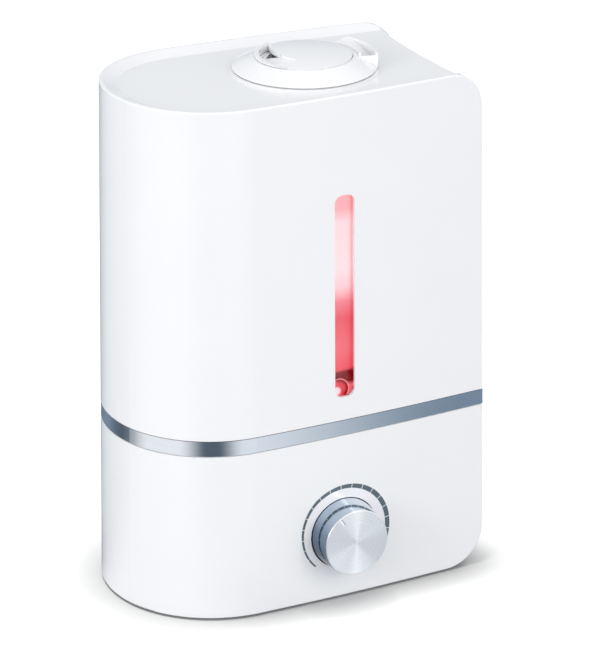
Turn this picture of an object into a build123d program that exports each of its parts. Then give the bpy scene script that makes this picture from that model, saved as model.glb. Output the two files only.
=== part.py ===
from build123d import *
import os
from math import asin, atan2, cos, degrees, radians, sin

# Cool mist ultrasonic humidifier: a D-shaped base with the mist maker and fan, and a lift-off
# water tank with a turning two-outlet nozzle. Millimetres, +Z up, front towards -Y. Pieces are
# drawn about the casing's middle, with heights from the table, and save() moves them all so
# that the origin is on the table under the middle of the whole object's box, knob included.

# ---- casing ----
FEET = 1.2                # gap between the table and the casing's lower edge
HEIGHT = 300.0            # casing height, lower edge to tank rim
LENGTH = 203.1            # casing length at the rim
DEPTH = 122.2             # casing depth at the rim
LEAN = 4.0                # how far each outer wall leans out from the rim down to the lower edge
NOSE_RADIUS = 70.0        # middle of the rounded left end
NOSE_REACH = 58.3         # from the nose to the start of the long sides
SIDE_RADIUS = 1546.0      # the long sides bow out very gently
WALL = 2.6
WING_X = 101.5            # right-hand ends of the front and back walls, at the rim
END_X = 90.0              # the inset right-hand end wall
END_BOW = 2.5             # how far the end wall is hollowed in plan
CORNER_TOP = 20.0         # rounded upper corners of the front and back walls
CORNER_BOTTOM = 24.0

# ---- heights ----
TOP = FEET + HEIGHT
BASE_TOP = FEET + 98.8
BAND_LOW = FEET + 99.3
BAND_HIGH = FEET + 108.05
TANK_LOW = FEET + 108.5
DECK = TOP - 3.0          # sunken top of the tank
BASIN_FLOOR = FEET + 84.0
TANK_FLOOR = FEET + 113.0

# ---- mist path and nozzle ----
MIST_X = 17.6
MIST_R = 16.0             # inside of the mist tube
SEAT_R = 42.3
SKIRT_R = 40.8
DISC_R = 26.9
SKIRT_LOW = DECK + 1.3
DISC_EDGE = SKIRT_LOW + 7.1

# ---- window, knob ----
WINDOW_X = 12.4
WINDOW_WIDE = 12.6
WINDOW_LOW = FEET + 122.4
WINDOW_HIGH = FEET + 242.2
KNOB_X = 11.6
KNOB_Z = FEET + 39.4
KNOB_R = 19.6             # at its face
KNOB_BASE_R = 20.9        # at the panel
KNOB_FACE_Y = -79.7
PANEL_Y = -63.7           # front panel at the knob
WELL_R = 21.3
EDGE_ROUND = 0.9          # softened outer edges of the casing
EDGE_TRIM = 0.2           # taken off the wall ends where their corners are rounded

# ---- filler cap, valve, float, fan, light ----
FILL_X = -42.0
NECK_R = 24.0
FAN_X = 62.0
FAN_BORE = 23.5
FLOAT_X, FLOAT_Y = -8.0, 34.0
LIGHT_X, LIGHT_Y = WINDOW_X, -53.5
GLAND_X, GLAND_Z = -20.0, FEET + 22.0

UP = (Align.CENTER, Align.CENTER, Align.MIN)
PLAY = 0.3                # clearance between pieces that move past each other

os.makedirs("parts", exist_ok=True)


def save(name, *solids):
    """Write one named piece, or a group of identical pieces, to its own file."""
    solids = [Pos(-BOX_X, -BOX_Y, 0) * solid for solid in solids]
    shape = solids[0] if len(solids) == 1 else Compound(children=solids)
    shape.label = name
    export_step(shape, f"parts/{name}.step")


def rod(x, y, z, radius, height):
    return Pos(x, y, z) * Cylinder(radius, height, align=UP)


def tube(x, y, z, outer, inner, height):
    return rod(x, y, z, outer, height) - rod(x, y, z, inner, height)


def slab(x, y, z, wide, deep, high):
    return Pos(x, y, z) * Box(wide, deep, high, align=UP)


def cone_tube(x, y, z_low, z_high, r_low, r_high, wall):
    """A hollow cone with an even wall."""
    def solid(shrink):
        low = Pos(x, y, z_low) * Circle(r_low - shrink)
        high = Pos(x, y, z_high) * Circle(r_high - shrink)
        return loft([low, high], ruled=True)
    return solid(0) - solid(wall)


# ---- the D-shaped plan ----
SHOULDER_X = NOSE_REACH - LENGTH / 2
SHOULDER_RADIUS = ((2 * NOSE_RADIUS * NOSE_REACH - NOSE_REACH ** 2 - (DEPTH / 2) ** 2)
                   / (2 * NOSE_RADIUS - DEPTH))
NOSE_HALF = degrees(atan2(DEPTH / 2 - SHOULDER_RADIUS, NOSE_RADIUS - NOSE_REACH))


def on_circle(centre, radius, angle):
    return Vector(centre[0] + radius * cos(radians(angle)), centre[1] + radius * sin(radians(angle)))


def arc(centre, radius, start, end):
    middle = (start + end) / 2
    return ThreePointArc(*(on_circle(centre, radius, angle) for angle in (start, middle, end)))


def plan(grow, end_x, bow=0.0):
    """The D-shaped plan, grown outward from the rim's outline and closed at end_x."""
    side_end = -90 + degrees(asin((end_x - SHOULDER_X) / (SIDE_RADIUS + grow)))
    side_centre = (SHOULDER_X, SIDE_RADIUS - DEPTH / 2)
    shoulder_centre = (SHOULDER_X, SHOULDER_RADIUS - DEPTH / 2)
    side = arc(side_centre, SIDE_RADIUS + grow, side_end, -90)
    shoulder = arc(shoulder_centre, SHOULDER_RADIUS + grow, -90, NOSE_HALF - 180)
    nose = arc((NOSE_RADIUS - LENGTH / 2, 0), NOSE_RADIUS + grow, NOSE_HALF - 180, -NOSE_HALF - 180)
    front = side @ 0
    back = Vector(front.X, -front.Y)
    end = Line(front, back) if bow == 0 else ThreePointArc(front, (end_x - bow, 0), back)
    return make_face([side, shoulder, nose, side.mirror(Plane.XZ), shoulder.mirror(Plane.XZ), end])


def lean(z):
    return LEAN * (TOP - z) / HEIGHT


def block(low, high, inset, end_x, bow=0.0):
    """Solid between two heights, following the leaning walls at an even inset."""
    faces = [Pos(0, 0, z) * plan(lean(z) - inset, end_x + lean(z), bow) for z in (low, high)]
    return loft(faces, ruled=True)


def end_recess(low, high):
    """The space between the front and back walls to the right of the inset end wall."""
    return block(low, high, WALL, WING_X + 10) - block(low, high, WALL - 1, END_X, END_BOW)


def corner_stock(low, high, z_corner, radius):
    """A slab as deep as the casing, with a pair of rounded corners on its right-hand side."""
    outline = Polyline((-200, low), (WING_X + lean(low) - EDGE_TRIM, low),
                       (WING_X + lean(high) - EDGE_TRIM, high), (-200, high), close=True)
    stock = extrude(Plane.XZ * make_face(outline), 100, both=True)
    edges = stock.edges().filter_by(Axis.Y).group_by(Axis.X, tol_digits=0)
    corner = [edge for group in edges[-2:] for edge in group if abs(edge.center().Z - z_corner) < 1]
    return fillet(corner[-1], radius)


def casing(low, high, z_edge, radius):
    """Solid casing with rounded corners and a softened outer edge at z_edge, and the recessed end."""
    solid = block(low, high, 0, WING_X) & corner_stock(low, high, z_edge, radius)
    far = high if z_edge == low else low

    def outer_edge(edge):
        middle = edge.center()
        at_edge = abs(middle.Z - z_edge) < 0.01 and (middle.X < 70 or abs(middle.Y) > 30)
        at_wing = middle.X > 70 and abs(middle.Y) > 30 and abs(middle.Z - far) > 0.01
        return at_edge or at_wing
    solid = fillet(solid.edges().filter_by(outer_edge), EDGE_ROUND)
    return solid - end_recess(low - 5, high + 5)


def on_panel(x, z):
    """The front wall's outer y at a place on it."""
    return -(DEPTH / 2 + lean(z)) + (x - SHOULDER_X) ** 2 / (2 * SIDE_RADIUS)


GLAND_LIP = 2.1
BOX_X = (WING_X + lean(FEET + CORNER_BOTTOM) - EDGE_TRIM - LENGTH / 2 - LEAN) / 2
BOX_Y = (KNOB_FACE_Y - on_panel(GLAND_X, GLAND_Z) + GLAND_LIP) / 2


# ---- base casing ----
def base_shell():
    shell = casing(FEET, BASE_TOP, FEET, CORNER_BOTTOM)
    shell -= block(FEET - 5, BASE_TOP + 5, WALL, END_X - WALL, END_BOW)
    knob_hole = Pos(KNOB_X, 0, KNOB_Z) * Rot(90, 0, 0) * Cylinder(WELL_R, 100, align=UP)
    gland_hole = Pos(GLAND_X, 0, GLAND_Z) * Rot(-90, 0, 0) * Cylinder(6.2, 100, align=UP)
    return shell - knob_hole - gland_hole


SCREW_SPOTS = [(-84, -22), (-84, 22), (50, -50), (50, 50)]
FOOT_SPOTS = [(-64, -36), (-64, 36), (80, -34), (80, 34)]
FOOT_R = 6.0
GRILLE_PITCH = 6.2
BOARD_Y = -44.0
BOARD_LOW = FEET + 14.0
FOOT_POCKET = 0.8
PLATE_LOW = FEET + 0.8
PLATE_HIGH = PLATE_LOW + 2.5
BOSS_HIGH = PLATE_LOW + 9.0
DRIVER_X, DRIVER_Y, DRIVER_Z = 9.6, 4.0, FEET + 34.0
DRIVER_SPOTS = [(DRIVER_X + x, DRIVER_Y + y) for x in (-20, 20) for y in (-27, 27)]


def base_bottom():
    plate = block(PLATE_LOW, PLATE_HIGH, WALL + PLAY, END_X - WALL - PLAY, END_BOW)
    for x, y in SCREW_SPOTS:
        plate += rod(x, y, PLATE_LOW, 5, BOSS_HIGH - PLATE_LOW)
        plate -= rod(x, y, PLATE_LOW - 1, 1.7, 20)
        plate -= rod(x, y, PLATE_LOW - 1, 3.6, 3.6)
    for x, y in FOOT_SPOTS:
        plate -= rod(x, y, PLATE_LOW - 1, FOOT_R + 0.2, 1 + FOOT_POCKET)
    for x, y in DRIVER_SPOTS:
        plate += rod(x, y, PLATE_LOW, 3, DRIVER_Z - PLATE_LOW)
    for side in (-24, 24):
        plate += slab(KNOB_X + side, BOARD_Y + 0.8, PLATE_LOW, 6, 6, 17)
    plate -= slab(KNOB_X, BOARD_Y + 0.8, BOARD_LOW, 54.4, 1.8, 20)
    for step in range(-3, 4):
        across = step * GRILLE_PITCH
        plate -= slab(FAN_X, across, PLATE_LOW - 1, 2 * (FAN_BORE ** 2 - across ** 2) ** 0.5, 3.4, 5)
    return plate


def trim_band():
    """Silver band between base and tank, open at the recessed end."""
    return block(BAND_LOW, BAND_HIGH, 0.2, WING_X) - block(BAND_LOW - 1, BAND_HIGH + 1, WALL, WING_X + 10)


# ---- water basin: the base's top tray ----
PORT_R = 13.0
PORT_HIGH = FEET + 105.0
BASIN_WALL = 2.0
SEAT_GAP = 0.02           # round a piece that is bonded into a hole
WELL_INSIDE = 17.0
WELL_LOW = BASIN_FLOOR - 12.0
RING_SPOTS = [(MIST_X + 21 * cos(radians(a)), 21 * sin(radians(a))) for a in (45, 165, 285)]


def water_basin():
    # the rim stands inside the trim band, on a thin flange that rests on the base casing
    rim = block(BASE_TOP, BAND_HIGH, WALL + 0.1, END_X - 0.2, END_BOW)
    rim += block(BASE_TOP, BAND_LOW, 1.2, END_X - 0.2, END_BOW)
    inset = WALL + PLAY + 1.0
    basin = rim + block(BASIN_FLOOR - BASIN_WALL, BASE_TOP, inset, END_X - inset, END_BOW)
    inset += BASIN_WALL
    basin -= block(BASIN_FLOOR, BAND_HIGH + 1, inset, END_X - inset, END_BOW)
    # holes for the well and the air port, then the float post and the pin that opens the tank's valve
    under = BASIN_FLOOR - BASIN_WALL
    basin -= rod(MIST_X, 0, under - 1, WELL_INSIDE + BASIN_WALL + SEAT_GAP, 10)
    basin -= rod(FAN_X, 0, under - 1, PORT_R + BASIN_WALL + SEAT_GAP, 10)
    basin += rod(FLOAT_X, FLOAT_Y, under, 3.5, 20)
    basin -= rod(FLOAT_X, FLOAT_Y, under - 1, 2.0, 18)
    basin += rod(FILL_X, 0, BASIN_FLOOR, 3.0, VALVE_PIN)
    basin -= rod(LIGHT_X, LIGHT_Y, under - 1, LIGHT_R, 40)
    basin += tube(LIGHT_X, LIGHT_Y, under, LIGHT_R + 1.6, LIGHT_R, 22)
    for x, y in SCREW_SPOTS:
        basin += tube(x, y, BOSS_HIGH, 4.5, 1.55, under - BOSS_HIGH)
    return basin


def mist_well():
    """Cup sunk in the basin's floor, over the transducer."""
    cup = rod(MIST_X, 0, WELL_LOW, WELL_INSIDE + BASIN_WALL, BASIN_FLOOR - WELL_LOW)
    for x, y in RING_SPOTS:
        cup += rod(x, y, WELL_LOW, 3.2, BASIN_FLOOR - BASIN_WALL - WELL_LOW)
        cup -= rod(x, y, WELL_LOW - 1, 1.55, 8)
    cup -= rod(MIST_X, 0, WELL_LOW + BASIN_WALL, WELL_INSIDE, 30)
    return cup - rod(MIST_X, 0, WELL_LOW - 1, 11, 10)


def air_port():
    """Chimney that brings the fan's air up through the water."""
    low = BASIN_FLOOR - BASIN_WALL
    return tube(FAN_X, 0, low, PORT_R + BASIN_WALL, PORT_R, PORT_HIGH - low)


# ---- ultrasonic transducer under the well ----
DISC_LOW = WELL_LOW - 2.6


def transducer_seal():
    ring = tube(MIST_X, 0, DISC_LOW, 13, 10, 2.6)
    return ring - rod(MIST_X, 0, DISC_LOW - 0.1, 11.5, 1.5)


def transducer_disc():
    return rod(MIST_X, 0, DISC_LOW, 11.5, 1.4)


def transducer_ring():
    ring = tube(MIST_X, 0, DISC_LOW - 3, 24.5, 8, 3)
    ring += tube(MIST_X, 0, DISC_LOW, 24.5, 13, 2.6)
    for x, y in RING_SPOTS:
        ring -= rod(x, y, DISC_LOW - 5, 1.6, 10)
    return ring


def screw(x, y, z, length, head=2.8, shank=1.5):
    """A pan-head screw driven upward, with a cross recess in its head."""
    body = rod(x, y, z, head, 2) + rod(x, y, z + 1, shank, length)
    for turn in (0, 90):
        body -= Pos(x, y, z - 0.1) * Rot(0, 0, turn) * Box(head * 1.2, 0.7, 1.0, align=UP)
    return body


# ---- fan and duct ----
FAN_LOW = PLATE_HIGH
FAN_HIGH = 15.0
FAN_SIDE = 52.0


def fan_housing():
    frame = slab(FAN_X, 0, FAN_LOW, FAN_SIDE, FAN_SIDE, FAN_HIGH)
    frame = fillet(frame.edges().filter_by(Axis.Z), 3)
    frame -= rod(FAN_X, 0, FAN_LOW - 1, FAN_BORE, 20)
    for turn in range(0, 360, 90):
        frame += Pos(FAN_X, 0, FAN_LOW) * Rot(0, 0, turn + 45) * Pos(17, 0, 0) * Box(17, 2, 1.6, align=UP)
    hub = rod(FAN_X, 0, FAN_LOW, 10, 2) + rod(FAN_X, 0, FAN_LOW, 1.5, 12)
    for x in (-21.5, 21.5):
        for y in (-21.5, 21.5):
            frame -= rod(FAN_X + x, y, FAN_LOW - 1, 1.8, 20)
    return frame + hub


def fan_rotor():
    rotor = rod(FAN_X, 0, FAN_LOW + 2.6, 10, 11) - rod(FAN_X, 0, FAN_LOW + 2, 1.5 + 0.06, 10.5)
    blade = Pos(0, 0, 8) * Rot(35, 0, 0) * Pos(15.7, 0, 0) * Box(12.8, 1.2, 12)
    for number in range(7):
        rotor += Pos(FAN_X, 0, FAN_LOW) * Rot(0, 0, number * 360 / 7) * blade
    keep = rod(FAN_X, 0, FAN_LOW + 2.6, FAN_BORE - 1.0, 11) - rod(FAN_X, 0, FAN_LOW + 2, 1.56, 10.5)
    return rotor & keep


def air_duct():
    low = FAN_LOW + FAN_HIGH
    high = BASIN_FLOOR - BASIN_WALL
    return (cone_tube(FAN_X, 0, low, high - 12, FAN_BORE + 1.5, PORT_R + 2, 1.8)
            + tube(FAN_X, 0, high - 12, PORT_R + 2, PORT_R + 0.2, 12))


# ---- controls ----
POT_LOW_Y = BOARD_Y - 8.0
WELL_FLOOR_Y = -56.0


def along_y(x, z, y_front, y_back, radius):
    """A round bar lying front to back."""
    return Pos(x, y_front, z) * Rot(-90, 0, 0) * Cylinder(radius, y_back - y_front, align=UP)


def knob_well():
    """Dark dish behind the panel that the knob turns in."""
    well = along_y(KNOB_X, KNOB_Z, PANEL_Y, WELL_FLOOR_Y + 2, WELL_R + 1.5)
    well &= block(FEET, BASE_TOP, WALL + 0.02, END_X)
    well -= along_y(KNOB_X, KNOB_Z, PANEL_Y, WELL_FLOOR_Y, WELL_R)
    return well - along_y(KNOB_X, KNOB_Z, PANEL_Y, -40, 4.6)


def knob_cap():
    """Spun aluminium cap with gently flaring sides and a fine bevel round its face."""
    wall, bevel = 1.2, 0.5
    back, shoulder = PANEL_Y + 3.5, PANEL_Y + 0.8
    profile = Polyline((0, KNOB_FACE_Y), (KNOB_R - bevel, KNOB_FACE_Y), (KNOB_R, KNOB_FACE_Y + bevel),
                       (KNOB_BASE_R, shoulder), (KNOB_BASE_R, back), (KNOB_BASE_R - wall, back),
                       (KNOB_BASE_R - wall, shoulder), (KNOB_R - wall, KNOB_FACE_Y + wall),
                       (0, KNOB_FACE_Y + wall), close=True)
    return Pos(KNOB_X, 0, KNOB_Z) * revolve(make_face(profile), Axis.Y)


def knob_core():
    core = along_y(KNOB_X, KNOB_Z, KNOB_FACE_Y + 1.2, KNOB_FACE_Y + 4, KNOB_R - 1.2)
    core += along_y(KNOB_X, KNOB_Z, KNOB_FACE_Y + 1.2, WELL_FLOOR_Y - 1, 6)
    for turn in (0, 90):
        rib = Box(2 * KNOB_R - 2.6, 14, 1.6)
        core += Pos(KNOB_X, KNOB_FACE_Y + 8.2, KNOB_Z) * Rot(0, turn, 0) * rib
    return core - along_y(KNOB_X, KNOB_Z, KNOB_FACE_Y + 5, PANEL_Y + 20, 3.0)


def pot_shaft():
    return along_y(KNOB_X, KNOB_Z, KNOB_FACE_Y + 5, POT_LOW_Y + 3, 3.0)


def potentiometer():
    can = along_y(KNOB_X, KNOB_Z, POT_LOW_Y, BOARD_Y, 8.5)
    bush = along_y(KNOB_X, KNOB_Z, WELL_FLOOR_Y - 0.5, POT_LOW_Y, 4.4)
    return can + bush - along_y(KNOB_X, KNOB_Z, WELL_FLOOR_Y - 5, POT_LOW_Y + 3.2, 3.05)


def control_board():
    back = (Align.CENTER, Align.MIN, Align.MIN)
    board = Pos(KNOB_X, BOARD_Y, BOARD_LOW) * Box(54, 1.6, 52, align=back)
    parts = Pos(KNOB_X - 18, BOARD_Y + 1.6, BOARD_LOW + 8)
    board += parts * Box(9, 3, 12, align=back)
    board += parts * Pos(14, 0, 4) * Box(6, 2.5, 6, align=back)
    board += parts * Pos(30, 0, 20) * Box(10, 5, 7, align=back)
    return board


LIGHT_R = 2.5
LED_Z = FEET + 68.0


def indicator_led():
    led = rod(LIGHT_X, LIGHT_Y, LED_Z, 2.5, 4) + Pos(LIGHT_X, LIGHT_Y, LED_Z + 4) * Sphere(2.5)
    led += rod(LIGHT_X, LIGHT_Y, LED_Z, 2.9, 1)
    for side in (-1.27, 1.27):
        led += slab(LIGHT_X + side, LIGHT_Y, LED_Z - 4, 0.5, 0.5, 4.2)
    return led


def led_bracket():
    """Small board arm that carries the light from the control board."""
    front = LIGHT_Y - 3.5
    arm = slab(LIGHT_X, (front + BOARD_Y) / 2, LED_Z - 5.6, 12, BOARD_Y - front, 1.6)
    return arm + slab(LIGHT_X, BOARD_Y - 0.8, LED_Z - 10, 12, 1.6, 5)


def light_guide():
    return rod(LIGHT_X, LIGHT_Y, LED_Z + 7, LIGHT_R - 0.05, BASIN_FLOOR + 19.5 - LED_Z - 7)


# ---- power electronics ----
POWER_X, POWER_Z = -46.0, FEET + 14.0
POWER_SPOTS = [(POWER_X + x, y) for x in (-26, 26) for y in (-32, 32)]


def power_board():
    board = slab(POWER_X, 0, POWER_Z, 62, 74, 1.6)
    board += rod(POWER_X + 20, -20, POWER_Z + 1, 7, 19)
    board += rod(POWER_X + 20, 4, POWER_Z + 1, 5, 13)
    board += slab(POWER_X + 18, 24, POWER_Z + 1, 16, 9, 12)
    for x, y in POWER_SPOTS:
        board -= rod(x, y, POWER_Z - 1, 1.7, 5)
    return board


def board_posts():
    """Pillars under the power board."""
    return [tube(x, y, PLATE_HIGH, 4, 1.2, POWER_Z - PLATE_HIGH) for x, y in POWER_SPOTS]


def board_screw(x, y):
    body = rod(x, y, POWER_Z + 1.6, 2.6, 1.8) + rod(x, y, POWER_Z - 6, 1.15, 8)
    for turn in (0, 90):
        body -= Pos(x, y, POWER_Z + 2.6) * Rot(0, 0, turn) * Box(3.4, 0.6, 1.0, align=UP)
    return body


TRANS_X, TRANS_Y = POWER_X - 8, 0.0


def transformer_core():
    low = POWER_Z + 1.6
    core = slab(TRANS_X, TRANS_Y, low, 18, 44, 36)
    for y in (-12, 12):
        core -= slab(TRANS_X, TRANS_Y + y, low + 7, 30, 8, 22)
    return core


def transformer_coil():
    low = POWER_Z + 8.6
    coil = fillet(slab(TRANS_X, TRANS_Y, low + 0.3, 31, 31.4, 21.4).edges().filter_by(Axis.Z), 4)
    return coil - slab(TRANS_X, TRANS_Y, low - 1, 18.2, 16.2, 30)


def driver_board():
    board = slab(DRIVER_X, DRIVER_Y, DRIVER_Z, 46, 60, 1.6)
    board += slab(DRIVER_X + 14, DRIVER_Y - 16, DRIVER_Z + 1, 10, 12, 9)
    board += rod(DRIVER_X - 14, DRIVER_Y - 18, DRIVER_Z + 1, 5, 12)
    board += rod(DRIVER_X - 14, DRIVER_Y + 20, DRIVER_Z + 1, 4, 9)
    return board


def heat_sink():
    low = DRIVER_Z + 1.6
    sink = slab(DRIVER_X + 5, DRIVER_Y + 6, low, 26, 22, 3)
    for number in range(6):
        sink += slab(DRIVER_X - 6.5 + number * 4.6, DRIVER_Y + 6, low + 2, 1.4, 22, 17)
    return sink


def cord_gland():
    """Round inlet in the back wall, with its clamping nut inside."""
    wall_y = -on_panel(GLAND_X, GLAND_Z)
    flange = along_y(GLAND_X, GLAND_Z, wall_y - 1, wall_y + GLAND_LIP, 8.5)
    flange = fillet(flange.edges().group_by(Axis.Y)[-1], 1.0) - block(FEET, BASE_TOP, -0.02, WING_X)
    body = along_y(GLAND_X, GLAND_Z, wall_y - 9, wall_y + 1, 6.0)
    nut = along_y(GLAND_X, GLAND_Z, wall_y - WALL - 4.4, wall_y - WALL - 0.4, 8.0)
    return flange + body + nut - along_y(GLAND_X, GLAND_Z, wall_y - 15, wall_y + 10, 3.4)


# ---- tank ----
BORDER = 8.0              # width of the slope between rim and deck
RIM = 2.2


def tank_shell():
    shell = casing(TANK_LOW, TOP, TOP, CORNER_TOP)
    shell -= block(TANK_LOW - 5, DECK - WALL, WALL, END_X - WALL, END_BOW)
    # the sunken deck with its wide sloping border
    faces = [Pos(0, 0, z) * plan(lean(z) - inset, WING_X + 10)
             for z, inset in ((DECK, RIM + BORDER), (TOP, RIM))]
    shell -= loft(faces, ruled=True)
    shell -= rod(MIST_X, 0, DECK - 10, MIST_R + 6, 20)
    return shell - window_solid(0.0, 12)


def window_solid(shrink, deep):
    """A rounded slot standing in the front wall."""
    outline = RectangleRounded(WINDOW_WIDE - 2 * shrink, WINDOW_HIGH - WINDOW_LOW - 2 * shrink,
                               4.6 - shrink)
    middle = (WINDOW_LOW + WINDOW_HIGH) / 2
    return Pos(WINDOW_X, -DEPTH / 2 - 6, middle) * extrude(Plane.XZ * outline, -deep)


def level_window():
    """Clear strip bonded into the slot, a little behind the wall's face."""
    middle = (WINDOW_LOW + WINDOW_HIGH) / 2
    pane = window_solid(0.05, 12)
    follow = block(WINDOW_LOW - 5, WINDOW_HIGH + 5, 1.4, WING_X) - block(
        WINDOW_LOW - 6, WINDOW_HIGH + 6, WALL + 0.4, WING_X + 10)
    flange = Pos(WINDOW_X, -DEPTH / 2 - 6, middle) * extrude(
        Plane.XZ * RectangleRounded(WINDOW_WIDE + 5, WINDOW_HIGH - WINDOW_LOW + 5, 6), -14)
    lip = flange & (block(WINDOW_LOW - 5, WINDOW_HIGH + 5, WALL + 0.02, WING_X)
                    - block(WINDOW_LOW - 6, WINDOW_HIGH + 6, WALL + 1.6, WING_X + 10))
    return (pane & follow) + lip


def light_channel():
    """Diffusing bar behind the window that spreads the lamp's light up the strip."""
    low, high = TANK_FLOOR + 0.2, WINDOW_HIGH - 1
    bar = block(low, high, WALL + 3.0, WING_X) - block(low - 1, high + 1, WALL + 9.0, WING_X + 10)
    return bar & slab(WINDOW_X, -DEPTH / 2, low - 1, WINDOW_WIDE + 4, 40, high - low + 2)


PLATE_THICK = 3.0


def tank_bottom():
    low = TANK_FLOOR - PLATE_THICK
    plate = block(low, TANK_FLOOR, WALL + 0.02, END_X - WALL - 0.02, END_BOW)
    plate -= rod(FILL_X, 0, low - 1, NECK_R - 2.2, 10)
    plate += tube(FILL_X, 0, low - 11, NECK_R, NECK_R - 2.2, 11.5)
    plate -= rod(MIST_X, 0, low - 1, MIST_R + 4.2 + SEAT_GAP, 10)
    plate -= rod(LIGHT_X, LIGHT_Y, low - 1, 4.0, 10)
    return plate


def tube_socket():
    """Collar bonded into the tank's floor, which holds the foot of the mist tube."""
    return tube(MIST_X, 0, TANK_FLOOR - PLATE_THICK - 6, MIST_R + 4.2, MIST_R + 2.1, 14)


def mist_tube():
    low = TANK_FLOOR - PLATE_THICK - 6
    pipe = tube(MIST_X, 0, low, MIST_R + 2, MIST_R, DECK - WALL - low)
    return pipe + tube(MIST_X, 0, DECK - WALL - 1.6, MIST_R + 5.8, MIST_R, 1.6)


def light_lens():
    """Clear lens that carries the light through the tank's floor."""
    low = TANK_FLOOR - PLATE_THICK
    lens = rod(LIGHT_X, LIGHT_Y, low, 3.95, PLATE_THICK)
    return lens + Pos(LIGHT_X, LIGHT_Y, low + 0.8) * (Sphere(3.6) & rod(0, 0, -5, 5, 5))


def nozzle_seat():
    seat = tube(MIST_X, 0, DECK, SEAT_R, MIST_R + 2.4, 0.9)
    return seat + tube(MIST_X, 0, DECK - WALL, MIST_R + 5.9, MIST_R + 2.4, WALL)


# ---- nozzle ----
GUIDE_R = DISC_R - 3.2
HOOD_START, HOOD_END = -30.0, 32.0


def nozzle_collar():
    """Plug-in sleeve in the tank's mouth that the nozzle turns on."""
    collar = tube(MIST_X, 0, DECK - WALL + 0.1, MIST_R + 2.1, MIST_R, WALL + 0.9)
    collar += tube(MIST_X, 0, DECK + 1.0, GUIDE_R + 2, MIST_R, 1.2)
    collar += tube(MIST_X, 0, DECK + 2.0, GUIDE_R, GUIDE_R - 2, 3.2)
    for number in range(8):
        port = Pos(MIST_X, 0, DECK + 2.2) * Rot(0, 0, number * 45) * Pos(GUIDE_R, 0, 0)
        collar -= port * Box(10, 9, 2.0, align=UP)
    return collar


def sector(inner, outer, start, end, low, high):
    """A ring segment between two angles, about the nozzle's axis."""
    outside = arc((MIST_X, 0), outer, start, end)
    inside = arc((MIST_X, 0), inner, end, start)
    face = make_face([outside, Line(outside @ 1, inside @ 0), inside, Line(inside @ 1, outside @ 0)])
    return Pos(0, 0, low) * extrude(face, high - low)


def under_slope(angle_low, z_low, angle_high, z_high, radius):
    """Everything under a plane that climbs from one place on a circle to another."""
    first = on_circle((MIST_X, 0), radius, angle_low) + Vector(0, 0, z_low)
    second = on_circle((MIST_X, 0), radius, angle_high) + Vector(0, 0, z_high)
    run = second - first
    level = Vector(-run.Y, run.X, 0).normalized()
    normal = run.cross(level)
    normal = normal if normal.Z > 0 else normal * -1
    plane = Plane(origin=(first + second) * 0.5, x_dir=run.normalized(), z_dir=normal.normalized())
    return plane * Box(160, 160, 60, align=(Align.CENTER, Align.CENTER, Align.MAX))


def nozzle_ring():
    """Cone-shaped ring with a hooded side outlet."""
    top = DISC_EDGE - 0.6
    seat = DISC_R + PLAY
    profile = [(SKIRT_R - 0.4, SKIRT_LOW), (SKIRT_R, SKIRT_LOW + 0.5), (SKIRT_R - 0.3, SKIRT_LOW + 1.0),
               (seat + 1.2, top), (seat, top), (seat, top - 2.6), (seat - 3.2, top - 2.6),
               (seat - 3.2, top - 4.2), (seat + 0.5, top - 4.2), (SKIRT_R - 3.0, SKIRT_LOW)]
    face = make_face(Polyline(*profile, close=True))
    ring = Pos(MIST_X, 0, 0) * revolve(Plane.XZ * face, Axis.Z)
    hood = sector(30.4, 41.2, HOOD_START, HOOD_END, SKIRT_LOW + 0.2, DISC_EDGE + 0.4)
    hood &= under_slope(HOOD_START - 3, SKIRT_LOW + 0.2, HOOD_START + 5, DISC_EDGE, 36)
    hood &= under_slope(HOOD_END + 12, SKIRT_LOW + 1.0, HOOD_END - 4, DISC_EDGE + 0.2, 36)
    channel = sector(31.6, 39.8, HOOD_START + 4, HOOD_END - 5, SKIRT_LOW - 3, DISC_EDGE + 5)
    ramp = sector(31.6, 39.8, HOOD_START + 22, HOOD_END - 5, SKIRT_LOW + 0.2, DISC_EDGE + 5)
    ramp &= under_slope(HOOD_START + 22, SKIRT_LOW + 1.4, HOOD_END - 5, DISC_EDGE + 0.2, 36)
    return ring + hood - (channel - ramp)


def nozzle_disc():
    """Domed centre disc with a lipped outlet near its edge."""
    low = DISC_EDGE - 2.8
    crown, plate = DISC_EDGE + 1.8, 1.9
    flat = 2.0            # the dome's very middle is flat
    top = ThreePointArc((DISC_R, DISC_EDGE), (16.0, DISC_EDGE + 1.2), (flat, crown))
    half = make_face([top, Polyline((flat, crown), (0, crown), (0, low), (DISC_R, low), (DISC_R, DISC_EDGE))])
    dome = Pos(MIST_X, 0, 0) * revolve(Plane.XZ * half, Axis.Z)
    disc = dome - rod(MIST_X, 0, low - 1, DISC_R - 2.2, 1 + 2.8 - plate)
    lip = sector(25.2, 28.2, 111, 222, DISC_EDGE - 0.2, DISC_EDGE + 1.0)
    lip &= under_slope(222, DISC_EDGE + 0.1, 160, DISC_EDGE + 1.0, DISC_R)
    mouth_outer = arc((MIST_X, 0), 25.6, 116, 224)
    centre = (MIST_X, 0)
    inner = arc(centre, 13.8, 224, 160)
    tip = ThreePointArc(on_circle(centre, 13.8, 160), on_circle(centre, 18.6, 136), mouth_outer @ 0)
    mouth = make_face([mouth_outer, Line(mouth_outer @ 1, inner @ 0), inner, tip])
    cut = Pos(0, 0, low - 2) * extrude(mouth, 14)
    ramp = sector(12.6, 25.4, 158, 226, low, DISC_EDGE + 5)
    ramp &= under_slope(158, low + 0.8, 224, DISC_EDGE + 1.2, 20)
    return disc + lip - (cut - ramp) + (ramp & dome)


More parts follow.
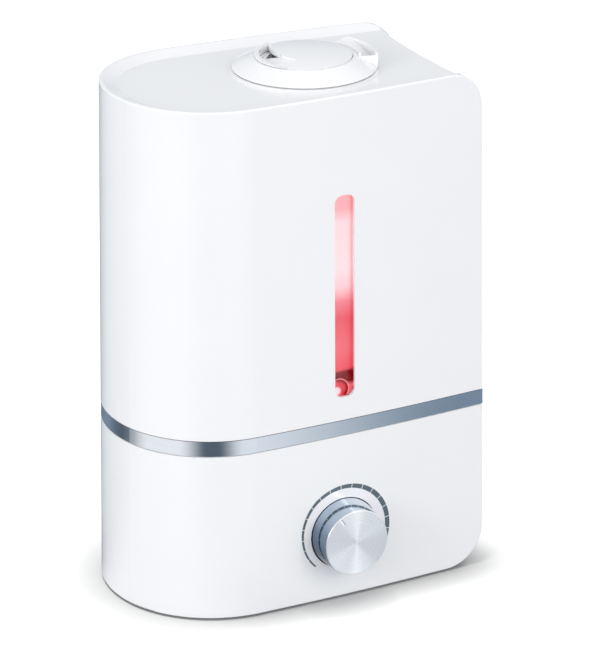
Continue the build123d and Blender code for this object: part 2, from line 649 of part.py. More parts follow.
# ---- filler cap and valve ----
NECK_LOW = TANK_FLOOR - PLATE_THICK - 11
CAP_LOW = NECK_LOW - 3.2
VALVE_OPEN = 5.0
STEM_LOW = CAP_LOW - 7.5
VALVE_PIN = STEM_LOW - 0.2 - BASIN_FLOOR


def filler_cap():
    cap = rod(FILL_X, 0, CAP_LOW, NECK_R + 2.2, 11.5) - rod(FILL_X, 0, CAP_LOW + 2.2, NECK_R + PLAY, 20)
    for number in range(24):
        spot = on_circle((FILL_X, 0), NECK_R + 2.4, number * 15)
        cap -= rod(spot.X, spot.Y, CAP_LOW - 1, 0.8, 11)
    # seat of the valve, on spokes so that water can run down to it
    cap += tube(FILL_X, 0, CAP_LOW, 10, 7, 4)
    return cap - rod(FILL_X, 0, CAP_LOW - 1, 7, 10) + valve_guide()


def valve_guide():
    guide = tube(FILL_X, 0, CAP_LOW, 4.2, 2.6, 2.2)
    for turn in (0, 120, 240):
        guide += Pos(FILL_X, 0, CAP_LOW) * Rot(0, 0, turn) * Pos(5.7, 0, 0) * Box(3.4, 1.4, 2.2, align=UP)
    return guide


def filler_seal():
    return tube(FILL_X, 0, CAP_LOW + 2.2, NECK_R - 0.1, NECK_R - 3.4, 1.0)


def valve_plunger():
    stem_top = CAP_LOW + 4 + VALVE_OPEN
    stem = rod(FILL_X, 0, STEM_LOW, 2.3, stem_top - STEM_LOW + 2)
    stem += rod(FILL_X, 0, STEM_LOW, 4.8, 1.2)
    return stem + rod(FILL_X, 0, stem_top + 1.4, 9.4, 1.6)


def valve_seal():
    return tube(FILL_X, 0, CAP_LOW + 4 + VALVE_OPEN, 9.2, 2.3, 1.4)


def valve_spring():
    low, high = STEM_LOW + 1.2, CAP_LOW
    wire = 0.35
    turns = 4
    length = high - low - 2 * wire
    path = Helix(pitch=length / turns, height=length, radius=3.6)
    coil = sweep(Plane(origin=path @ 0, z_dir=path % 0) * Circle(wire), path=path)
    return Pos(FILL_X, 0, low + wire) * coil


# ---- float ----


def float_ring():
    ring = tube(FLOAT_X, FLOAT_Y, BASIN_FLOOR + 0.4, 10, 3.5 + PLAY, 7)
    return chamfer(ring.edges().filter_by(GeomType.CIRCLE), 0.5)


def float_magnet():
    return tube(FLOAT_X, FLOAT_Y, BASIN_FLOOR + 7.4, 6.5, 3.5 + PLAY, 1.2)


def float_sensor():
    return rod(FLOAT_X, FLOAT_Y, BASIN_FLOOR - 5, 1.9, 17)


def feet():
    return [rod(x, y, 0, FOOT_R, PLATE_LOW + FOOT_POCKET) for x, y in FOOT_SPOTS]


save("base_shell", base_shell())
save("base_bottom", base_bottom())
save("trim_band", trim_band())
save("water_basin", water_basin())
save("mist_well", mist_well())
save("air_port", air_port())
save("transducer_disc", transducer_disc())
save("transducer_seal", transducer_seal())
save("transducer_ring", transducer_ring())
save("transducer_screws", *[screw(x, y, DISC_LOW - 5.0, 10) for x, y in RING_SPOTS])
save("fan_housing", fan_housing())
save("fan_rotor", fan_rotor())
save("air_duct", air_duct())
save("knob_well", knob_well())
save("knob_cap", knob_cap())
save("knob_core", knob_core())
save("pot_shaft", pot_shaft())
save("potentiometer", potentiometer())
save("control_board", control_board())
save("led_bracket", led_bracket())
save("indicator_led", indicator_led())
save("light_guide", light_guide())
save("power_board", power_board())
save("board_posts", *board_posts())
save("board_screws", *[board_screw(x, y) for x, y in POWER_SPOTS])
save("transformer_core", transformer_core())
save("transformer_coil", transformer_coil())
save("driver_board", driver_board())
save("heat_sink", heat_sink())
save("cord_gland", cord_gland())
save("feet", *feet())
save("base_screws", *[screw(x, y, PLATE_LOW + 0.6, 14, head=3.2) for x, y in SCREW_SPOTS])
save("tank_shell", tank_shell())
save("level_window", level_window())
save("light_channel", light_channel())
save("light_lens", light_lens())
save("tank_bottom", tank_bottom())
save("tube_socket", tube_socket())
save("mist_tube", mist_tube())
save("nozzle_seat", nozzle_seat())
save("nozzle_collar", nozzle_collar())
save("nozzle_ring", nozzle_ring())
save("nozzle_disc", nozzle_disc())
save("filler_cap", filler_cap())
save("filler_seal", filler_seal())
save("valve_plunger", valve_plunger())
save("valve_seal", valve_seal())
save("valve_spring", valve_spring())
save("float_ring", float_ring())
save("float_magnet", float_magnet())
save("float_sensor", float_sensor())
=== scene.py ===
from math import atan2, cos, pi, radians, sin

import bmesh
import bpy
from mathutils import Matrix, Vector


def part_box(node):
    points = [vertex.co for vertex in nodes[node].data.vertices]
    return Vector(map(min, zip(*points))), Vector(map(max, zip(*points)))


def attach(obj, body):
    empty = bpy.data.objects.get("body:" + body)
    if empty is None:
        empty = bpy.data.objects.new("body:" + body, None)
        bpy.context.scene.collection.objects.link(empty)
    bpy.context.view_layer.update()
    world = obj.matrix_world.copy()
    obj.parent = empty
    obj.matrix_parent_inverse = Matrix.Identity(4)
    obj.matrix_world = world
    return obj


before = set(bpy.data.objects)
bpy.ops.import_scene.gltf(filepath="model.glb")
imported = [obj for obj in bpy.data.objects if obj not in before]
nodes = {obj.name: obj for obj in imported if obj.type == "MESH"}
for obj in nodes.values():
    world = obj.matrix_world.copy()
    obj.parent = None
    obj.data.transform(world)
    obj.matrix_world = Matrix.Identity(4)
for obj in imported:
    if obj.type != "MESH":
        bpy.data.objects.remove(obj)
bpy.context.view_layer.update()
MM = 0.001


def middle(node):
    low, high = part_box(node)
    return (low + high) / 2


# ---- camera: where it looks, from which side and how far away, in metres ----
TARGET = Vector((0.01184, -0.00157, 0.14588))
AZIMUTH, ELEVATION, DISTANCE = radians(-26.223), radians(21.681), 2.1997
FOCAL_LENGTH, SENSOR_WIDTH = 211.06, 36.0
back = Vector((sin(AZIMUTH) * cos(ELEVATION), -cos(AZIMUTH) * cos(ELEVATION), sin(ELEVATION)))
lens = bpy.data.cameras.new("view")
lens.sensor_width = SENSOR_WIDTH
lens.lens = FOCAL_LENGTH
lens.clip_start, lens.clip_end = 0.05, 60.0
camera = bpy.data.objects.new("view", lens)
camera.location = TARGET + back * DISTANCE
camera.rotation_euler = (-back).to_track_quat("-Z", "Y").to_euler()
bpy.context.collection.objects.link(camera)
bpy.context.scene.camera = camera


# ---- node helpers ----
class Shader:
    """A material whose nodes are added one after another."""

    def __init__(self, name):
        self.material = bpy.data.materials.new(name)
        self.material.use_nodes = True
        self.tree = self.material.node_tree
        self.tree.nodes.clear()
        self.out = self.add("ShaderNodeOutputMaterial")
        self.place = self.add("ShaderNodeTexCoord").outputs["Object"]

    def add(self, kind, **values):
        node = self.tree.nodes.new(kind)
        for key, value in values.items():
            setattr(node, key, value)
        return node

    def link(self, source, target):
        self.tree.links.new(source, target)

    def principled(self, **sockets):
        node = self.add("ShaderNodeBsdfPrincipled")
        for key, value in sockets.items():
            node.inputs[key.replace("_", " ")].default_value = value
        self.link(node.outputs[0], self.out.inputs["Surface"])
        return node

    def noise(self, scale, detail=3.0, rough=0.5, stretch=None):
        vector = self.place
        if stretch:
            mapping = self.add("ShaderNodeMapping")
            mapping.inputs["Scale"].default_value = stretch
            self.link(vector, mapping.inputs["Vector"])
            vector = mapping.outputs[0]
        node = self.add("ShaderNodeTexNoise")
        node.inputs["Scale"].default_value = scale
        node.inputs["Detail"].default_value = detail
        node.inputs["Roughness"].default_value = rough
        self.link(vector, node.inputs["Vector"])
        return node.outputs["Fac"]

    def spread(self, fac, low, high):
        """Maps the middle of a noise to a range."""
        node = self.add("ShaderNodeMapRange")
        node.inputs["From Min"].default_value = 0.3
        node.inputs["From Max"].default_value = 0.7
        node.inputs["To Min"].default_value = low
        node.inputs["To Max"].default_value = high
        self.link(fac, node.inputs["Value"])
        return node.outputs["Result"]

    def ramp(self, fac, *stops, ease="LINEAR"):
        node = self.add("ShaderNodeValToRGB")
        node.color_ramp.interpolation = ease
        elements = node.color_ramp.elements
        while len(elements) < len(stops):
            elements.new(0.5)
        for element, (place, colour) in zip(elements, stops):
            element.position = place
            element.color = (*colour, 1.0)
        self.link(fac, node.inputs["Fac"])
        return node.outputs["Color"]

    def bump(self, height, strength, distance, normal=None):
        node = self.add("ShaderNodeBump")
        node.inputs["Strength"].default_value = strength
        node.inputs["Distance"].default_value = distance
        self.link(height, node.inputs["Height"])
        if normal:
            self.link(normal, node.inputs["Normal"])
        return node.outputs["Normal"]


def shade(colour, share):
    return tuple(channel * share for channel in colour)


def moulded(name, colour, rough, grain, depth, vary=0.03, **sockets):
    """Moulded plastic, rubber or paint: slow colour drift, uneven gloss and a fine grain."""
    s = Shader(name)
    body = s.principled(**sockets)
    drift = s.noise(22.0, 4.0)
    s.link(s.ramp(drift, (0.3, shade(colour, 1 - vary)), (0.7, colour)), body.inputs["Base Color"])
    s.link(s.spread(s.noise(60.0, 3.0), rough * 0.85, rough * 1.15), body.inputs["Roughness"])
    s.link(s.bump(s.noise(grain, 2.0), 0.25, depth), body.inputs["Normal"])
    return s.material


def worked(name, colour, rough, stretch, depth=0.00002, vary=0.1, **sockets):
    """Bare metal with lines left by its making along one direction."""
    s = Shader(name)
    body = s.principled(Metallic=1.0, **sockets)
    lines = s.noise(900.0, 4.0, 0.6, stretch)
    s.link(s.ramp(lines, (0.35, shade(colour, 1 - vary)), (0.65, colour)), body.inputs["Base Color"])
    s.link(s.spread(lines, rough * 0.8, rough * 1.2), body.inputs["Roughness"])
    s.link(s.bump(lines, 0.15, depth), body.inputs["Normal"])
    return s.material


def radius_about(s, centre, axis):
    """Distance from a line through centre along an axis, in metres."""
    shift = s.add("ShaderNodeVectorMath", operation="SUBTRACT")
    shift.inputs[1].default_value = centre
    s.link(s.place, shift.inputs[0])
    flat = s.add("ShaderNodeVectorMath", operation="MULTIPLY")
    flat.inputs[1].default_value = [0.0 if number == axis else 1.0 for number in range(3)]
    s.link(shift.outputs[0], flat.inputs[0])
    length = s.add("ShaderNodeVectorMath", operation="LENGTH")
    s.link(flat.outputs[0], length.inputs[0])
    return length.outputs["Value"]


def scaled(s, value, factor, offset=0.0):
    node = s.add("ShaderNodeMath", operation="MULTIPLY_ADD")
    node.inputs[1].default_value = factor
    node.inputs[2].default_value = offset
    s.link(value, node.inputs[0])
    return node.outputs[0]


def angle_about(s, centre):
    """Share of a turn round the Y axis through centre: 0.5 is up, 0.75 is toward +X."""
    shift = s.add("ShaderNodeVectorMath", operation="SUBTRACT")
    shift.inputs[1].default_value = centre
    s.link(s.place, shift.inputs[0])
    split = s.add("ShaderNodeSeparateXYZ")
    s.link(shift.outputs[0], split.inputs[0])
    turn = s.add("ShaderNodeMath", operation="ARCTAN2")
    s.link(split.outputs["X"], turn.inputs[0])
    s.link(split.outputs["Z"], turn.inputs[1])
    return scaled(s, turn.outputs[0], 1 / (2 * pi), 0.5)


MIX_FIRST, MIX_SECOND, MIX_COLOUR = 6, 7, 2      # the colour sockets of a Mix node


def blend(s, share, first, second, mode="MIX"):
    """Mixes two colours; the share and each colour may be a socket or a plain value."""
    node = s.add("ShaderNodeMix", data_type="RGBA", blend_type=mode)
    for value, target in ((share, node.inputs["Factor"]), (first, node.inputs[MIX_FIRST]),
                          (second, node.inputs[MIX_SECOND])):
        if isinstance(value, float):
            target.default_value = value
        elif isinstance(value, tuple):
            target.default_value = (*value, 1.0)
        else:
            s.link(value, target)
    return node.outputs[MIX_COLOUR]


def spun():
    """Spun aluminium: fine rings and a painted fan of sheen (painted highlights) on the knob's face, and a
    polished side with a painted reflection, darker toward the lower left.
    """
    s = Shader("spun_aluminium")
    body = s.principled(Anisotropic=0.9, Anisotropic_Rotation=0.25)
    radius = radius_about(s, middle("knob_cap"), 1)
    rings_per_metre = 9000.0
    rings = s.add("ShaderNodeTexNoise", noise_dimensions="1D")
    rings.inputs["Scale"].default_value = 1.0
    rings.inputs["Detail"].default_value = 4.0
    s.link(scaled(s, radius, rings_per_metre), rings.inputs["W"])
    fine = rings.outputs["Fac"]
    split = s.add("ShaderNodeSeparateXYZ")
    s.link(s.place, split.inputs[0])
    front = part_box("knob_cap")[0].y

    def face_to_side(face, side):
        """One value on the face and another on the side, changing over at the rim."""
        node = s.add("ShaderNodeMapRange")
        node.inputs["From Min"].default_value = front + 0.0003
        node.inputs["From Max"].default_value = front + 0.0006
        node.inputs["To Min"].default_value = face
        node.inputs["To Max"].default_value = side
        s.link(split.outputs["Y"], node.inputs["Value"])
        return node.outputs[0]

    around = angle_about(s, middle("knob_cap"))
    grey = (0.955, 0.96, 0.985)
    # painted sheen: painted highlight streaks up and down, fainter ones across them, and painted duller
    # wedges between
    painted_sheen = s.ramp(around, *[(place, shade(grey, share)) for place, share in (
        (0.00, 1.0), (0.07, 0.93), (0.172, 0.99), (0.24, 0.87), (0.36, 0.80), (0.44, 0.92), (0.50, 1.0),
        (0.57, 0.95), (0.672, 1.0), (0.75, 0.89), (0.86, 0.81), (0.94, 0.93), (1.00, 1.0))], ease="EASE")
    lines = s.ramp(fine, (0.3, (0.93, 0.93, 0.93)), (0.7, (1.0, 1.0, 1.0)))
    # painted reflection on the polished side: its tone round the axis darkens toward the lower left
    painted_reflection = s.ramp(around,
                    (0.0, (0.42, 0.50, 0.60)), (0.10, (0.16, 0.22, 0.30)), (0.19, (0.09, 0.14, 0.20)),
                    (0.28, (0.20, 0.27, 0.36)), (0.40, (0.46, 0.54, 0.64)), (0.55, (0.72, 0.78, 0.86)),
                    (1.0, (0.42, 0.50, 0.60)), ease="EASE")
    face = blend(s, 1.0, painted_sheen, lines, "MULTIPLY")
    s.link(blend(s, face_to_side(0.0, 1.0), face, painted_reflection), body.inputs["Base Color"])
    s.link(face_to_side(0.62, 1.0), body.inputs["Metallic"])
    rough = s.add("ShaderNodeMath", operation="MULTIPLY")
    s.link(face_to_side(0.30, 0.05), rough.inputs[0])
    s.link(s.spread(fine, 0.85, 1.2), rough.inputs[1])
    s.link(rough.outputs[0], body.inputs["Roughness"])
    s.link(s.bump(fine, 0.05, 0.000006), body.inputs["Normal"])
    tangent = s.add("ShaderNodeTangent", direction_type="RADIAL", axis="Y")
    s.link(tangent.outputs[0], body.inputs["Tangent"])
    return s.material


def board():
    """Green circuit board: solder mask with lighter lines of copper tracks along the edges of cells."""
    s = Shader("board_green")
    body = s.principled(Roughness=0.35)
    cells = s.add("ShaderNodeTexVoronoi", feature="DISTANCE_TO_EDGE", distance="MANHATTAN")
    cells.inputs["Scale"].default_value = 260.0
    s.link(s.place, cells.inputs["Vector"])
    tracks = cells.outputs["Distance"]
    colour = s.ramp(tracks, (0.05, (0.05, 0.17, 0.07)), (0.09, (0.012, 0.075, 0.028)))
    s.link(colour, body.inputs["Base Color"])
    s.link(s.bump(tracks, 0.1, 0.00005), body.inputs["Normal"])
    return s.material


def clear(name, colour, rough):
    s = Shader(name)
    body = s.principled(Transmission_Weight=1.0, IOR=1.12)
    s.link(s.ramp(s.noise(30.0), (0.3, shade(colour, 0.98)), (0.7, colour)), body.inputs["Base Color"])
    s.link(s.spread(s.noise(80.0), rough, rough * 1.5), body.inputs["Roughness"])
    return s.material


def shade_down(s, colour, share):
    """A colour socket dimmed to a share of itself."""
    node = s.add("ShaderNodeVectorMath", operation="SCALE")
    node.inputs["Scale"].default_value = share
    s.link(colour, node.inputs[0])
    return node.outputs[0]


FULL, NONE = (1.0, 1.0, 1.0), (0.0, 0.0, 0.0)
LENS_ACROSS, LENS_UP = 0.0073, 0.0051      # the lamp lens's middle, from the window's lower left corner
LENS_UNIT = 0.008                          # the lens's ramps count in shares of this distance


def glowing():
    """The light bar behind the window: red low down, paling upward, with a round lamp lens painted at its
    foot, carrying painted shade and painted highlights.
    """
    s = Shader("diffuser")
    body = s.principled(Roughness=0.4)
    split = s.add("ShaderNodeSeparateXYZ")
    s.link(s.place, split.inputs[0])
    low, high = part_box("level_window")
    width, height = high.x - low.x, high.z - low.z
    across = scaled(s, split.outputs["X"], 1 / width, -low.x / width)
    up = scaled(s, split.outputs["Z"], 1 / height, -low.z / height)
    wobble = s.add("ShaderNodeMath", operation="ADD")
    s.link(up, wobble.inputs[0])
    s.link(s.spread(s.noise(90.0, 2.0), -0.004, 0.004), wobble.inputs[1])
    glow = s.ramp(wobble.outputs[0],
                  (0.00, (0.80, 0.10, 0.13)), (0.055, (0.84, 0.16, 0.20)), (0.075, (0.20, 0.0, 0.002)),
                  (0.122, (0.20, 0.0, 0.002)), (0.136, (0.83, 0.085, 0.12)), (0.24, (0.86, 0.15, 0.18)),
                  (0.38, (0.80, 0.10, 0.13)), (0.46, (0.88, 0.22, 0.27)), (0.53, (0.97, 0.58, 0.62)),
                  (0.62, (1.0, 0.72, 0.75)), (0.84, (0.99, 0.66, 0.69)), (0.90, (0.95, 0.42, 0.45)),
                  (1.00, (0.95, 0.40, 0.43)))
    # deeper at the right-hand edge
    edge = s.ramp(across, (0.80, FULL), (0.97, (0.90, 0.42, 0.45)))
    glow = blend(s, 1.0, glow, edge, "MULTIPLY")

    centre = Vector((low.x + LENS_ACROSS, 0.0, low.z + LENS_UP))

    def away(x=0.0, z=0.0):
        """Distance from the lens's middle, or from a place beside it."""
        return scaled(s, radius_about(s, centre + Vector((x, 0, z)), 1), 1 / LENS_UNIT)

    def painted_highlight_patch(x, z, solid, gone):
        """A soft round patch of painted highlight beside the lens's middle."""
        return s.ramp(away(x, z), (solid, FULL), (gone, NONE), ease="EASE")

    # painted lamp lens, rings from the middle outward: red, a dark ring of painted shade, a bright rim of
    # painted highlight
    lens = s.ramp(away(),
                  (0.30, (0.72, 0.05, 0.08)), (0.52, (0.62, 0.03, 0.05)), (0.62, (0.30, 0.0, 0.004)),
                  (0.74, (0.34, 0.0, 0.006)), (0.79, (0.92, 0.34, 0.38)), (0.82, (0.88, 0.24, 0.28)))
    # painted highlights on the lens: a brighter red patch up and to the left, and a pale spot just left of
    # the middle
    lens = blend(s, painted_highlight_patch(-0.0030, 0.0030, 0.25, 0.45), lens, (0.8025, 0.0713, 0.1013))
    lens = blend(s, painted_highlight_patch(-0.0013, -0.0009, 0.20, 0.42), lens, (0.9613, 0.705, 0.716))
    inside = s.ramp(away(), (0.815, FULL), (0.835, NONE))
    glow = blend(s, inside, glow, lens)
    s.link(shade_down(s, glow, 0.08), body.inputs["Base Color"])
    s.link(glow, body.inputs["Emission Color"])
    body.inputs["Emission Strength"].default_value = 1.0
    return s.material


WHITE = (0.835, 0.838, 0.848)

# moulded: colour, roughness, grain per metre, bump depth in metres, drift of tone
# worked: colour, roughness, stretch of the lines along X, Y and Z, bump depth, drift of tone
finishes = {
    "white_gloss": moulded("white_gloss", WHITE, 0.14, 2500.0, 0.000004, 0.012, IOR=1.5),
    "white_inner": moulded("white_inner", (0.78, 0.79, 0.80), 0.42, 1800.0, 0.00002),
    "grey_bottom": moulded("grey_bottom", (0.60, 0.61, 0.63), 0.5, 1500.0, 0.00006),
    "silver_trim": worked("silver_trim", (0.92, 0.93, 0.95), 0.10, (0.05, 0.05, 1.0), 0.000001, 0.03),
    "spun_aluminium": spun(),
    "dark_plastic": moulded("dark_plastic", (0.022, 0.024, 0.028), 0.4, 1500.0, 0.00003, 0.3),
    "clear_plastic": clear("clear_plastic", (0.98, 0.985, 0.99), 0.02),
    "diffuser": glowing(),
    "black_rubber": moulded("black_rubber", (0.018, 0.018, 0.02), 0.62, 2200.0, 0.00005, 0.3),
    "seal_silicone": moulded("seal_silicone", (0.50, 0.50, 0.49), 0.38, 1500.0, 0.00002),
    "piezo_ceramic": moulded("piezo_ceramic", (0.58, 0.54, 0.42), 0.3, 1200.0, 0.00002, 0.1),
    "machined_aluminium": worked("machined_aluminium", (0.80, 0.81, 0.83), 0.28, (1.0, 0.06, 1.0)),
    "zinc_steel": worked("zinc_steel", (0.66, 0.67, 0.70), 0.26, (1.0, 1.0, 0.3)),
    "board_green": board(),
    "led_red": moulded("led_red", (0.62, 0.012, 0.014), 0.08, 300.0, 0.00001, 0.3,
                       Transmission_Weight=0.6, Emission_Color=(1.0, 0.03, 0.02, 1.0),
                       Emission_Strength=1.2),
    "core_steel": worked("core_steel", (0.33, 0.33, 0.35), 0.4, (0.05, 0.05, 1.0), 0.0001),
    "coil_tape": moulded("coil_tape", (0.72, 0.50, 0.06), 0.35, 400.0, 0.0001, 0.15),
    "fan_black": moulded("fan_black", (0.020, 0.021, 0.024), 0.34, 1600.0, 0.00003, 0.3),
    "float_foam": moulded("float_foam", (0.80, 0.80, 0.78), 0.7, 900.0, 0.0002, 0.08),
    "magnet_dark": worked("magnet_dark", (0.20, 0.20, 0.21), 0.35, (1.0, 1.0, 1.0)),
    "shaft_steel": worked("shaft_steel", (0.62, 0.63, 0.65), 0.22, (1.0, 0.05, 1.0)),
    "valve_plastic": moulded("valve_plastic", (0.10, 0.26, 0.50), 0.35, 1500.0, 0.00002, 0.1),
    "spring_steel": worked("spring_steel", (0.60, 0.61, 0.62), 0.2, (1.0, 1.0, 1.0)),
}
for node in nodes.values():
    for place in node.material_slots:
        finish = place.material.name.split(".")[0] if place.material else None
        if finish in finishes:
            place.material = finishes[finish]


# ---- mesh helpers ----
def mesh_piece(name, build, material, body):
    """Makes a piece from a function that fills a bmesh, and rides it on a CAD body."""
    mesh = bpy.data.meshes.new(name)
    bm = bmesh.new()
    build(bm)
    bmesh.ops.recalc_face_normals(bm, faces=bm.faces)
    bm.to_mesh(mesh)
    bm.free()
    mesh.materials.append(material)
    piece = bpy.data.objects.new(name, mesh)
    bpy.context.collection.objects.link(piece)
    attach(piece, body)
    return piece


# ---- dial scale printed round the knob ----
KNOB = middle("knob_cap")
knob_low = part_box("knob_cap")[0]
shell = nodes["base_shell"]


def panel_y(x, z):
    """The front panel's outer face, found on the CAD shell itself."""
    ahead = Vector((x, -0.5, z))
    return shell.ray_cast(ahead, Vector((0, 1, 0)))[1].y


INK_LIFT, INK_SINK = 0.00005, 0.00004                 # metres above and below the panel's face
STEP, FIRST, COUNT, GAP = 14.43, -133.8, 18, 0.9      # bars in degrees clockwise from straight up
BAR_PARTS = 8                                         # straight stretches along a bar
GROWING = 175.0                                       # degrees over which the arc widens


def scale_radii(angle):
    """Inner and outer radius of the printed arc, which widens as it goes round."""
    share = min(1.0, max(0.0, (angle - FIRST) / GROWING))
    thick = 1.0 + 1.9 * share ** 1.2
    inner = 25.0 + 1.85 * min(1.0, share * 1.9)
    return inner * MM, (inner + thick) * MM


def scale_bars(bm):
    for number in range(COUNT):
        start = FIRST + number * STEP + (GAP / 2 if number else 0.0)
        end = FIRST + (number + 1) * STEP - GAP / 2
        rows = []
        for part in range(BAR_PARTS + 1):
            angle = start + (end - start) * part / BAR_PARTS
            row = []
            for radius in scale_radii(angle):
                x = KNOB.x + radius * sin(radians(angle))
                z = KNOB.z + radius * cos(radians(angle))
                y = panel_y(x, z)
                row.append((bm.verts.new((x, y - INK_LIFT, z)), bm.verts.new((x, y + INK_SINK, z))))
            rows.append(row)
        for (a, b), (c, d) in zip(rows, rows[1:]):
            bm.faces.new((a[0], b[0], d[0], c[0]))
            bm.faces.new((a[1], c[1], d[1], b[1]))
            bm.faces.new((a[0], c[0], c[1], a[1]))
            bm.faces.new((b[0], b[1], d[1], d[0]))
        for a, b in (rows[0], rows[-1]):
            bm.faces.new((a[0], a[1], b[1], b[0]))


ink = moulded("scale_ink", (0.105, 0.140, 0.165), 0.35, 3000.0, 0.00001, 0.12)
mesh_piece("dial_scale", scale_bars, ink, "base")


# ---- pointer on the knob's face ----
POINTER = radians(-33.6)      # clockwise from straight up


def bar_on_face(bm, inner, outer, half_wide, shift, lift, sink):
    """A thin bar lying along a radius of the knob's face."""
    along = Vector((sin(POINTER), 0, cos(POINTER)))
    across = Vector((cos(POINTER), 0, -sin(POINTER)))
    corners = []
    for radius, side in ((inner, -1), (inner, 1), (outer, 1), (outer, -1)):
        place = KNOB + along * radius + across * (side * half_wide + shift)
        corners.append([bm.verts.new((place.x, knob_low.y + depth, place.z)) for depth in (-lift, sink)])
    bm.faces.new([c[0] for c in corners])
    bm.faces.new([c[1] for c in reversed(corners)])
    for a, b in zip(corners, corners[1:] + corners[:1]):
        bm.faces.new((a[0], b[0], b[1], a[1]))


white_ink = moulded("pointer_white", (0.93, 0.93, 0.93), 0.3, 2500.0, 0.00001, 0.02)
dark_ink = moulded("pointer_shade", (0.16, 0.18, 0.21), 0.35, 2500.0, 0.00001, 0.1)
mesh_piece("knob_pointer",
           lambda bm: bar_on_face(bm, 0.0146, 0.0188, 0.00055, 0.0, 0.00006, 0.0001),
           white_ink, "knob")
mesh_piece("knob_pointer_edge",
           lambda bm: bar_on_face(bm, 0.0144, 0.0190, 0.00022, 0.00074, 0.00004, 0.0001),
           dark_ink, "knob")


# ---- floor and cards ----
def plane(name, size, place, material, turn=(0, 0, 0)):
    bm = bmesh.new()
    bmesh.ops.create_grid(bm, x_segments=8, y_segments=8, size=size / 2)
    mesh = bpy.data.meshes.new(name)
    bm.to_mesh(mesh)
    bm.free()
    mesh.materials.append(material)
    piece = bpy.data.objects.new(name, mesh)
    piece.location = place
    piece.rotation_euler = turn
    bpy.context.collection.objects.link(piece)
    return piece


def hide_from(piece, *rays):
    """Hides a piece from the named kinds of light ray."""
    for ray in rays:
        setattr(piece, "visible_" + ray, False)


def chalky(name, dark, light):
    """A matt surface with a slow drift of tone."""
    s = Shader(name)
    body = s.principled(Roughness=0.9, Specular_IOR_Level=0.0)
    s.link(s.ramp(s.noise(2.0), (0.3, dark), (0.7, light)), body.inputs["Base Color"])
    return s, body


def lit_card(name, size, place, tones, turn=(0, 0, 0)):
    """A card that only shiny surfaces see, glowing in the tones that a function of its shader makes."""
    s = Shader(name)
    emit = s.add("ShaderNodeEmission")
    s.link(tones(s), emit.inputs["Color"])
    s.link(emit.outputs[0], s.out.inputs["Surface"])
    s.material.cycles.emission_sampling = "NONE"
    piece = plane(name, size, place, s.material, turn)
    hide_from(piece, "camera", "diffuse", "shadow", "transmission", "volume_scatter")
    return piece


# The floor gives off some light of its own, less near a contact, so it stays white away from the object;
# the dip near a contact is a painted contact shadow.
FLOOR_SIZE, CONTACT_REACH = 40.0, 0.030
floor_shader, floor_body = chalky("floor", (0.275, 0.275, 0.275), (0.28, 0.28, 0.28))
contact = floor_shader.add("ShaderNodeAmbientOcclusion", samples=24)
contact.inputs["Distance"].default_value = CONTACT_REACH
floor_glow = floor_shader.ramp(contact.outputs["AO"], (0.45, (0.05, 0.05, 0.05)),
                               (0.80, (0.28, 0.28, 0.28)), (1.0, (0.50, 0.50, 0.50)))
floor_shader.link(floor_glow, floor_body.inputs["Emission Color"])
floor_body.inputs["Emission Strength"].default_value = 1.0
floor = plane("floor", FLOOR_SIZE, (0, 0, 0), floor_shader.material)
hide_from(floor, "diffuse", "glossy", "shadow")

# What the floor gives back to the object is a little greyer than the floor looks.
bounce_shader, _ = chalky("floor_bounce", (0.56, 0.57, 0.585), (0.58, 0.59, 0.605))
bounce = plane("floor_bounce", FLOOR_SIZE, (0, 0, -0.0003), bounce_shader.material)
hide_from(bounce, "camera", "glossy")

# A dark studio with a bright strip on the left, a softer one in front that dies away to the right, and
# another behind. Degrees round the object: 0 is straight in front of it, the right-hand side positive.
DARK, FAINT = (0.09, 0.12, 0.155), (0.19, 0.26, 0.34)
SOFT, BRIGHT = (0.74, 0.80, 0.86), (0.85, 0.88, 0.92)
STUDIO = (
    (-180, DARK), (-150, FAINT), (-122, DARK), (-90, BRIGHT), (-62, BRIGHT), (-36, DARK), (-26, DARK),
    (0, SOFT), (8, SOFT), (45, FAINT), (60, FAINT), (130, SOFT), (150, SOFT), (180, DARK),
)


def strips(s):
    split = s.add("ShaderNodeSeparateXYZ")
    s.link(s.place, split.inputs[0])
    turn = s.add("ShaderNodeMath", operation="ARCTAN2")
    s.link(split.outputs["X"], turn.inputs[0])
    s.link(scaled(s, split.outputs["Y"], -1.0), turn.inputs[1])
    stops = [(0.5 + angle / 360, tone) for angle, tone in STUDIO]
    return s.ramp(scaled(s, turn.outputs[0], 1 / (2 * pi), 0.5), *stops, ease="EASE")


def backdrop_grey(s):
    return s.ramp(s.noise(0.6), (0.3, (0.40, 0.44, 0.49)), (0.7, (0.46, 0.50, 0.55)))


lit_card("studio_card", 6.0, (0, 0, 0.0006), strips)
# a grey backdrop, so that grazing edges read darker
lit_card("edge_card", 8.0, (0, 3.0, 2.0), backdrop_grey, turn=(pi / 2, 0, 0))


# ---- lights ----
def aimed(name, light, place, way):
    """Adds a light that shines along a direction."""
    lamp = bpy.data.objects.new(name, light)
    lamp.location = place
    lamp.rotation_euler = Vector(way).to_track_quat("-Z", "Y").to_euler()
    bpy.context.collection.objects.link(lamp)
    return lamp


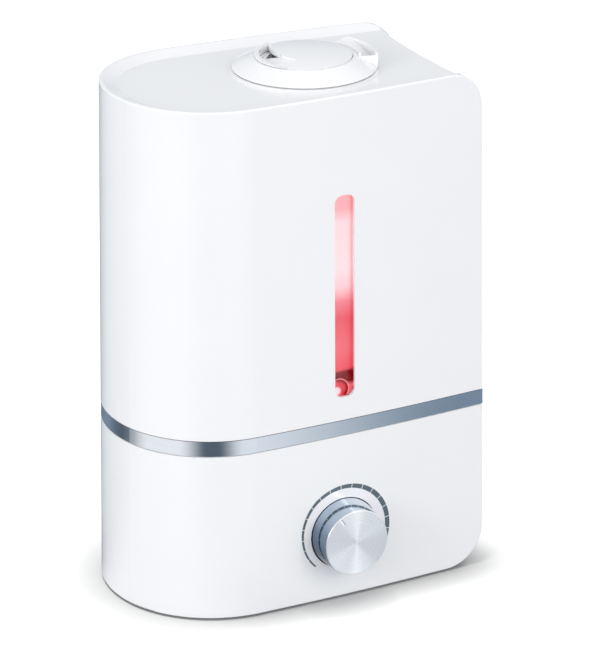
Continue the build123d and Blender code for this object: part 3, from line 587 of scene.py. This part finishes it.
def softbox(name, place, aim, size, power):
    """A rectangular light of some watts, aimed at a point."""
    light = bpy.data.lights.new(name, "AREA")
    light.shape = "RECTANGLE"
    light.size, light.size_y = size
    light.energy = power
    box = aimed(name, light, place, Vector(aim) - Vector(place))
    box.visible_camera = False


softbox("key_left", (-2.1, -0.7, 0.9), (0, 0, 0.24), (0.9, 1.0), 15.5)
softbox("key_front", (0.5, -2.1, 0.75), (0, 0, 0.24), (0.9, 0.8), 2.6)
softbox("strip_right", (0.85, -1.55, 0.95), (0, 0, 0.05), (0.16, 1.1), 5.0)

# A soft sun almost overhead lights the floor alone, and the casings alone shade it.
overhead = bpy.data.lights.new("over_floor", "SUN")
overhead.energy = 4.6
overhead.angle = radians(10)
over = aimed("over_floor", overhead, (0, 0, 0), (0.10, -0.030, -1.0))
only_floor = bpy.data.collections.new("only_floor")
only_floor.objects.link(floor)
over.light_linking.receiver_collection = only_floor
casters = bpy.data.collections.new("floor_shadow_casters")
for name in ("base_shell", "trim_band", "tank_shell"):
    casters.objects.link(nodes[name])
over.light_linking.blocker_collection = casters

# The room is brighter in front, to the left and above than behind.
ROOM_BRIGHT_WAY = (-0.50, -0.80, 0.33)
ROOM_DIM, ROOM_BRIGHT = (0.80, 0.825, 0.86, 1), (1.0, 1.0, 1.0, 1)
world = bpy.data.worlds.new("studio")
world.use_nodes = True
bpy.context.scene.world = world
room = world.node_tree
sky = room.nodes["Background"]
facing = room.nodes.new("ShaderNodeVectorMath")
facing.operation = "DOT_PRODUCT"
facing.inputs[1].default_value = ROOM_BRIGHT_WAY
room.links.new(room.nodes.new("ShaderNodeTexCoord").outputs["Generated"], facing.inputs[0])
fade = room.nodes.new("ShaderNodeValToRGB")
for element, tone in zip(fade.color_ramp.elements, (ROOM_DIM, ROOM_BRIGHT)):
    element.color = tone
span = room.nodes.new("ShaderNodeMapRange")
span.inputs["From Min"].default_value = -1.0
room.links.new(facing.outputs["Value"], span.inputs["Value"])
room.links.new(span.outputs[0], fade.inputs["Fac"])
room.links.new(fade.outputs["Color"], sky.inputs["Color"])
sky.inputs["Strength"].default_value = 1.05
bpy.context.scene.view_settings.view_transform = "Standard"
